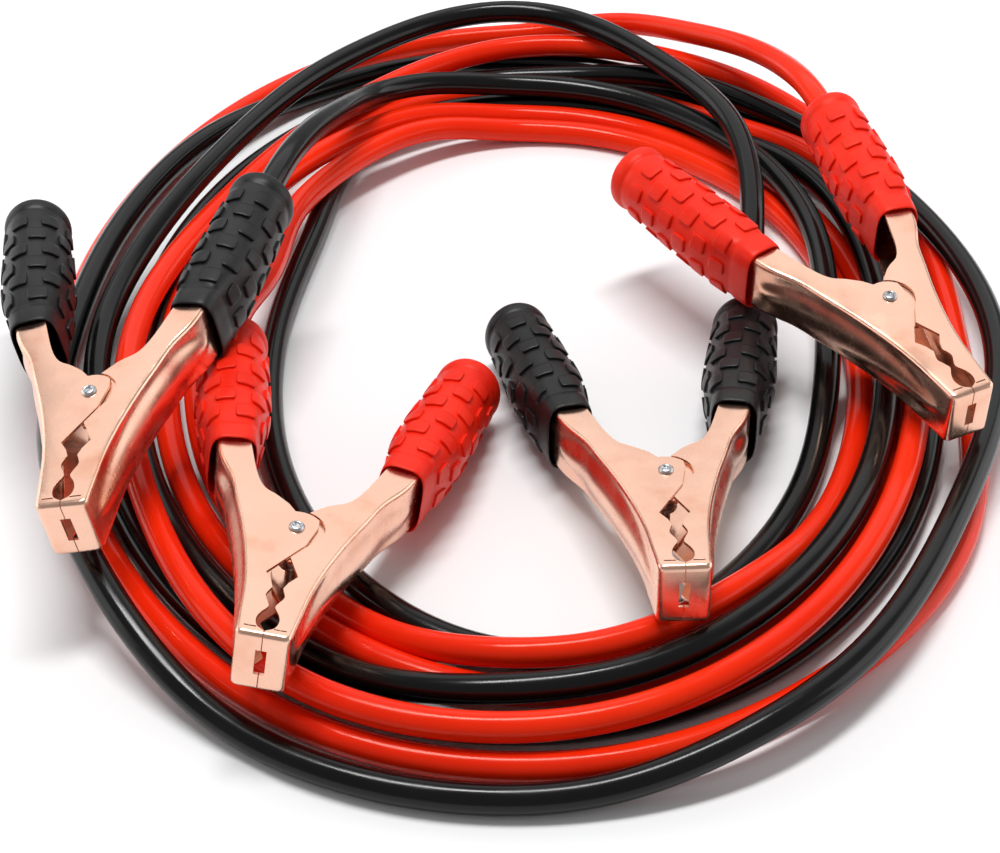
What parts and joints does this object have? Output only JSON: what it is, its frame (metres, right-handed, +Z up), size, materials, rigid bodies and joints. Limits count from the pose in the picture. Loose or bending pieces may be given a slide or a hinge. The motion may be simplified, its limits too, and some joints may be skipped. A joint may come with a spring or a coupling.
{
  "type": "car jumper cable",
  "caption": "Coiled jumper cable set: one black and one red cable, each ending in two sprung copper-plated clamps with ribbed rubber grips.",
  "frame": {"origin": "on the floor under the middle of the box round the four clamps", "axes": "+Z up from the floor that the set lies on, -Y towards the clamp noses, +X to the right seen from the noses' side"},
  "size_m": [0.363, 0.4606, 0.0685],
  "materials": {
    "copper_plate": "copper-plated pressed steel, bright",
    "zinc_steel": "zinc-plated",
    "bare_copper": "stranded bare copper",
    "black_rubber": "matt moulded rubber",
    "red_rubber": "satin moulded rubber",
    "black_jacket": "glossy flexible jacket",
    "red_jacket": "glossy flexible jacket"
  },
  "bodies": {
    "set": {"black_cable": "black_jacket", "red_cable": "red_jacket", "left_black_cable_jaw": "copper_plate", "left_black_cable_grip": "black_rubber", "left_black_conductor": "bare_copper", "left_black_rivet": "zinc_steel", "left_black_spring": "zinc_steel", "left_red_cable_jaw": "copper_plate", "left_red_cable_grip": "red_rubber", "left_red_conductor": "bare_copper", "left_red_rivet": "zinc_steel", "left_red_spring": "zinc_steel", "middle_black_cable_jaw": "copper_plate", "middle_black_cable_grip": "black_rubber", "middle_black_conductor": "bare_copper", "middle_black_rivet": "zinc_steel", "middle_black_spring": "zinc_steel", "right_red_cable_jaw": "copper_plate", "right_red_cable_grip": "red_rubber", "right_red_conductor": "bare_copper", "right_red_rivet": "zinc_steel", "right_red_spring": "zinc_steel"},
    "left_black_lever": {"left_black_free_jaw": "copper_plate", "left_black_free_grip": "black_rubber"},
    "left_red_lever": {"left_red_free_jaw": "copper_plate", "left_red_free_grip": "red_rubber"},
    "middle_black_lever": {"middle_black_free_jaw": "copper_plate", "middle_black_free_grip": "black_rubber"},
    "right_red_lever": {"right_red_free_jaw": "copper_plate", "right_red_free_grip": "red_rubber"}
  },
  "joints": [
    {"name": "left_black_jaw", "type": "hinge", "parent": "set", "child": "left_black_lever", "pos_m": [-0.1202, -0.0395, 0.04375], "axis": [0.1629, 0.0457, -0.9856], "range_deg": [0, 24], "stiffness_Nm_per_rad": 1.5, "springref_deg": -14.32, "deforming": ["left_black_spring"]},
    {"name": "left_red_jaw", "type": "hinge", "parent": "set", "child": "left_red_lever", "pos_m": [-0.0547, -0.0897, 0.0295], "axis": [0.1518, 0.0794, 0.9852], "range_deg": [0, 24], "stiffness_Nm_per_rad": 1.5, "springref_deg": -14.32, "deforming": ["left_red_spring"]},
    {"name": "middle_black_jaw", "type": "hinge", "parent": "set", "child": "middle_black_lever", "pos_m": [0.0612, -0.0587, 0.02567], "axis": [0.0057, -0.12, -0.9928], "range_deg": [0, 24], "stiffness_Nm_per_rad": 1.5, "springref_deg": -14.32, "deforming": ["middle_black_spring"]},
    {"name": "right_red_jaw", "type": "hinge", "parent": "set", "child": "right_red_lever", "pos_m": [0.1421, 0.0218, 0.03735], "axis": [0.0147, 0.0945, -0.9954], "range_deg": [0, 24], "stiffness_Nm_per_rad": 1.5, "springref_deg": -14.32, "deforming": ["right_red_spring"]}
  ]
}
